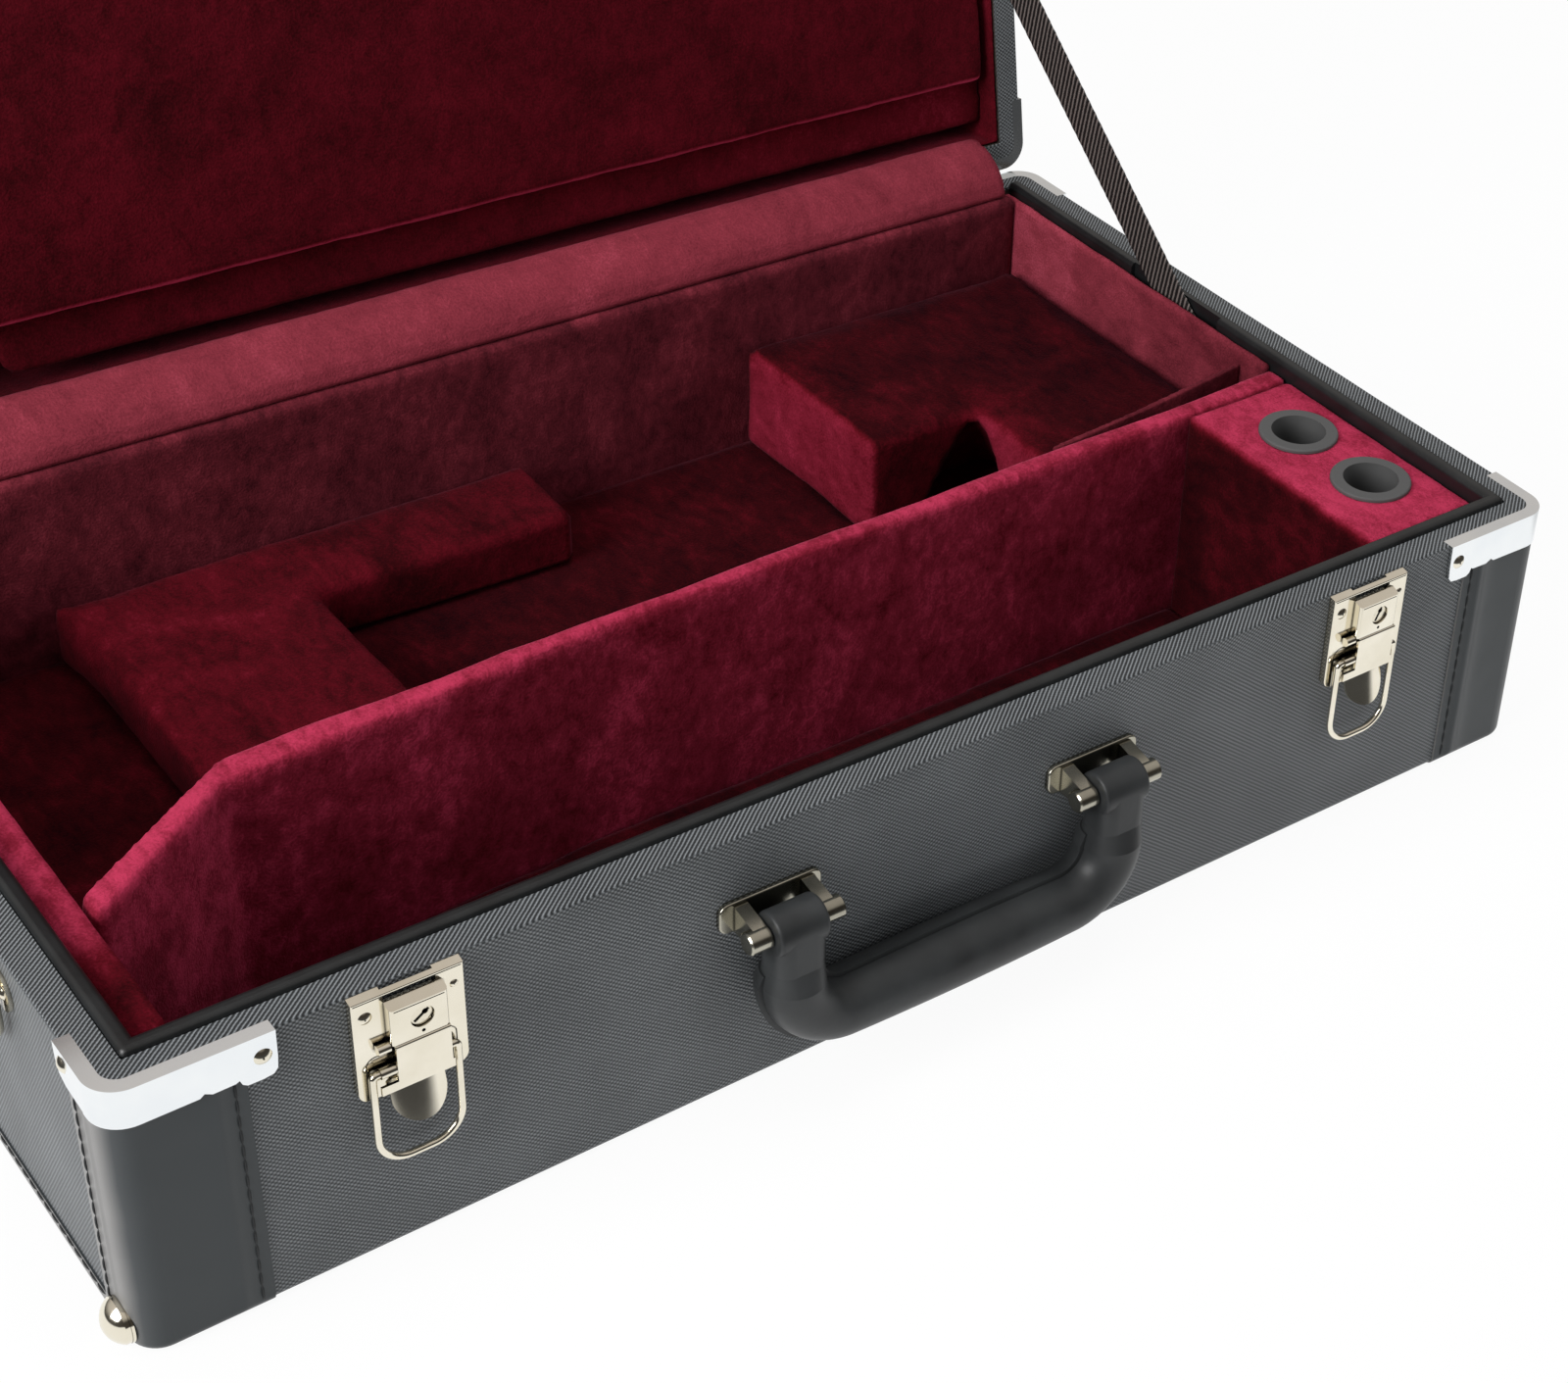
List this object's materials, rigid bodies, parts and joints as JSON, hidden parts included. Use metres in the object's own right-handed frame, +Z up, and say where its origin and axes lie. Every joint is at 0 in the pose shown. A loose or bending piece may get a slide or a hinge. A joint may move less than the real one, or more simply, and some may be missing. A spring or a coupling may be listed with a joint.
{
  "type": "trumpet case",
  "caption": "Hard trumpet case with hinged lid, plush-lined fitted interior, accessory tray, mouthpiece sleeves, draw latches and a swinging carrying handle",
  "frame": {"origin": "middle of the base underside, on the resting plane", "axes": "+X along the length to the viewer's right, +Y from the handle side to the hinge side, +Z up"},
  "size_m": [0.6144, 0.4825, 0.4699],
  "materials": {
    "twill": "charcoal twill cloth with fine diagonal ribs",
    "vinyl": "smooth satin charcoal vinyl",
    "lip_vinyl": "black satin vinyl over board",
    "wood": "plain plywood",
    "chrome": "bright chrome plate",
    "nickel": "bright nickel plate",
    "plush": "burgundy short-pile plush",
    "grip_plastic": "satin moulded grip",
    "sleeve_plastic": "black satin plastic",
    "webbing": "ribbed black webbing"
  },
  "bodies": {
    "base": {"base_bottom_covering": "twill", "base_bottom_panel": "wood", "base_corner_guards": "chrome", "base_corner_patches": "vinyl", "base_end_bindings": "vinyl", "base_feet": "nickel", "base_frame": "wood", "base_inner_lip": "lip_vinyl", "base_rivets": "nickel", "base_side_covering": "twill", "divider": "plush", "handle_bracket_left": "nickel", "handle_bracket_right": "nickel", "handle_pins": "nickel", "hinge_base_leaves": "nickel", "hinge_pins": "nickel", "hinge_strip": "plush", "latch_backplate_left": "nickel", "latch_backplate_right": "nickel", "latch_rivets": "nickel", "left_support_block": "plush", "lining_front": "plush", "lining_left": "plush", "lining_rear": "plush", "lining_right": "plush", "lock_body_left": "nickel", "lock_body_right": "nickel", "main_floor_pad": "plush", "mouthpiece_block": "plush", "mouthpiece_sleeves": "sleeve_plastic", "pocket_flap": "plush", "right_support_block": "plush", "ring_brackets": "nickel", "ring_rivets": "nickel", "stay_strap": "webbing", "tray_floor_pad": "plush"},
    "lid": {"lid_frame": "wood", "lid_top_panel": "wood", "lid_side_covering": "twill", "lid_top_covering": "twill", "lid_corner_patches": "vinyl", "lid_corner_guards": "chrome", "lid_feet": "nickel", "lid_rivets": "nickel", "hinge_lid_leaves": "nickel", "lid_lining": "plush", "lid_ceiling_pad": "plush", "lid_ledge": "plush", "flap_tape": "plush", "strikes": "nickel"},
    "lid_flap": {"lid_flap": "plush"},
    "handle": {"handle_grip": "grip_plastic"},
    "ring_left": {"ring_left": "nickel"},
    "ring_right": {"ring_right": "nickel"},
    "lever_left": {"latch_lever_left": "nickel"},
    "bail_left": {"latch_bail_left": "nickel"},
    "key_left": {"key_barrel_left": "nickel"},
    "lever_right": {"latch_lever_right": "nickel"},
    "bail_right": {"latch_bail_right": "nickel"},
    "key_right": {"key_barrel_right": "nickel"}
  },
  "joints": [
    {"name": "lid_hinge", "type": "hinge", "parent": "base", "child": "lid", "pos_m": [0, 0.1776, 0.1136], "axis": [1, 0, 0], "range_deg": [0, 98.9], "deforming": ["stay_strap", "hinge_strip"]},
    {"name": "flap_hinge", "type": "hinge", "parent": "lid", "child": "lid_flap", "pos_m": [0, 0.23454, 0.4468], "axis": [1, 0, 0], "range_deg": [-60, 0]},
    {"name": "handle_pivot", "type": "hinge", "parent": "base", "child": "handle", "pos_m": [0, -0.189, 0.079], "axis": [-1, 0, 0], "range_deg": [0, 95]},
    {"name": "ring_left_swing", "type": "hinge", "parent": "base", "child": "ring_left", "pos_m": [-0.3036, -0.087, 0.099], "axis": [0, 1, 0], "range_deg": [0, 100]},
    {"name": "ring_right_swing", "type": "hinge", "parent": "base", "child": "ring_right", "pos_m": [0.3036, -0.087, 0.099], "axis": [0, -1, 0], "range_deg": [0, 100]},
    {"name": "lever_left_pivot", "type": "hinge", "parent": "base", "child": "lever_left", "pos_m": [-0.2021, -0.182, 0.0917], "axis": [-1, 0, 0], "range_deg": [0, 110]},
    {"name": "bail_left_pivot", "type": "hinge", "parent": "lever_left", "child": "bail_left", "pos_m": [-0.2046, -0.1804, 0.0822], "axis": [1, 0, 0], "range_deg": [-165, 0]},
    {"name": "key_left_turn", "type": "hinge", "parent": "base", "child": "key_left", "pos_m": [-0.2017, -0.181, 0.1002], "axis": [0, -1, 0], "range_deg": [0, 90]},
    {"name": "lever_right_pivot", "type": "hinge", "parent": "base", "child": "lever_right", "pos_m": [0.2035, -0.182, 0.0917], "axis": [-1, 0, 0], "range_deg": [0, 110]},
    {"name": "bail_right_pivot", "type": "hinge", "parent": "lever_right", "child": "bail_right", "pos_m": [0.201, -0.1804, 0.0822], "axis": [1, 0, 0], "range_deg": [-165, 0]},
    {"name": "key_right_turn", "type": "hinge", "parent": "base", "child": "key_right", "pos_m": [0.2039, -0.181, 0.1002], "axis": [0, -1, 0], "range_deg": [0, 90]}
  ]
}
